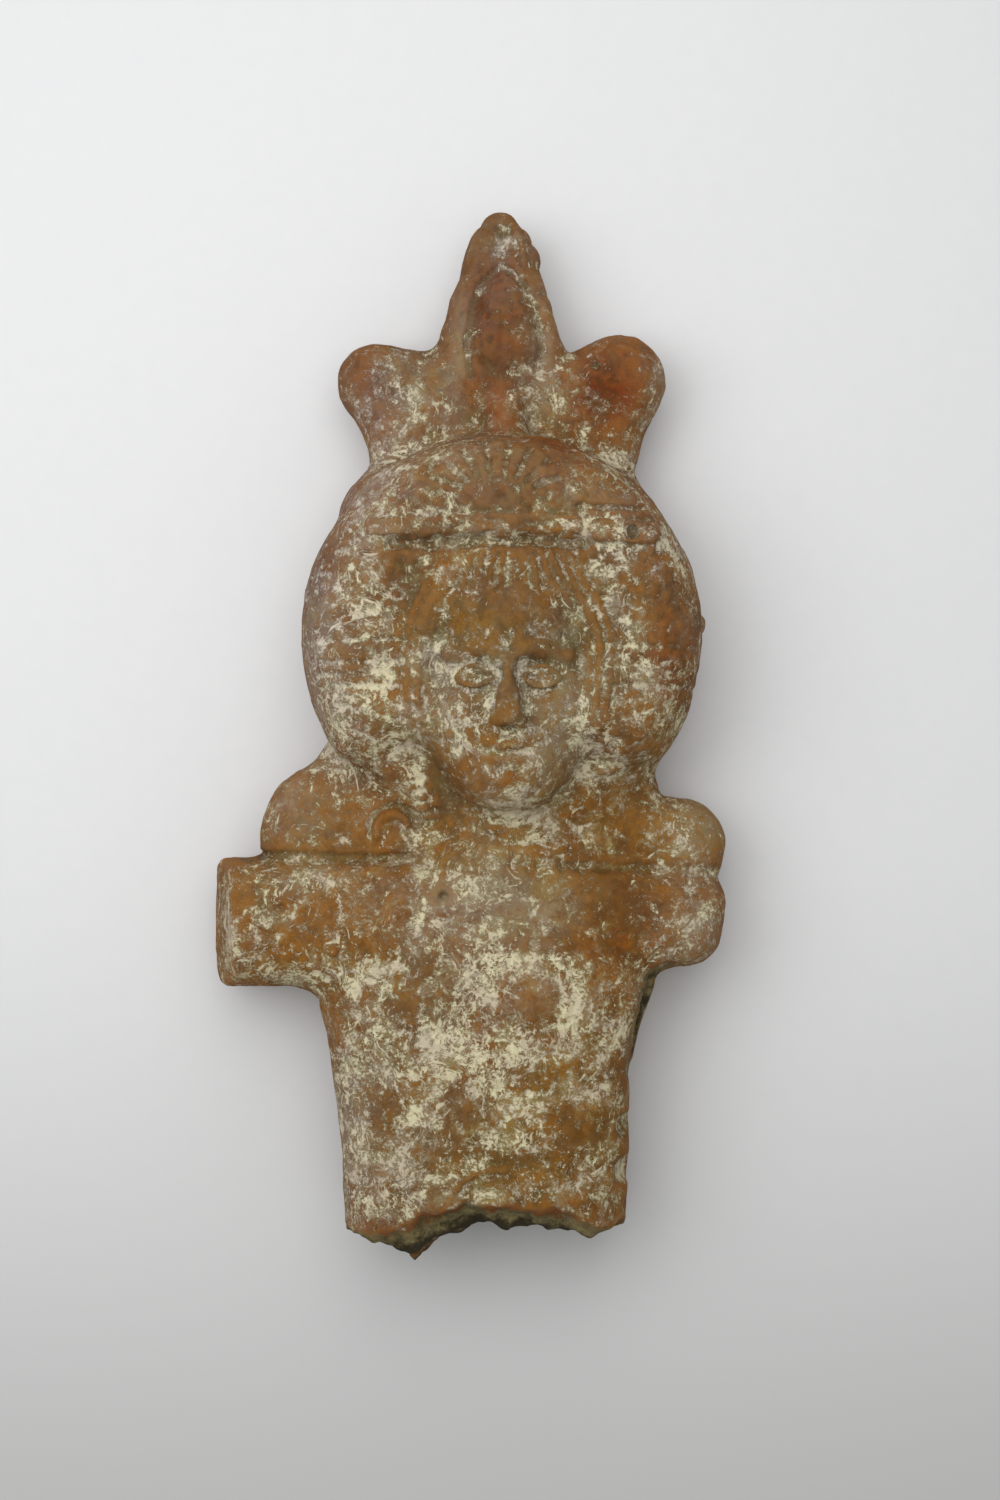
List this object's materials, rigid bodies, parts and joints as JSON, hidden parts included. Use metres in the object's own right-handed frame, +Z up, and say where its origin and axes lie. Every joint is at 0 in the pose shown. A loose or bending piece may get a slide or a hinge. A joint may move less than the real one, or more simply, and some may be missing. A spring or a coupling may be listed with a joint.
{
  "type": "roman figurine",
  "caption": "Upper part of a hollow mould-made terracotta female figurine with a tall crown, thick wreath and arm stubs, broken at the waist, lying on its back.",
  "frame": {"origin": "on the table under the middle of the figurine's bounding box, which lies on its flat back", "axes": "+Z up, out through the face; +Y from the broken waist to the tip of the crown; +X to the viewer's right"},
  "size_m": [0.0828, 0.168, 0.0353],
  "materials": {
    "terracotta": "matt fired clay, orange-brown, with worn white slip and soil"
  },
  "bodies": {
    "root": {"figurine": "terracotta"}
  },
  "joints": []
}
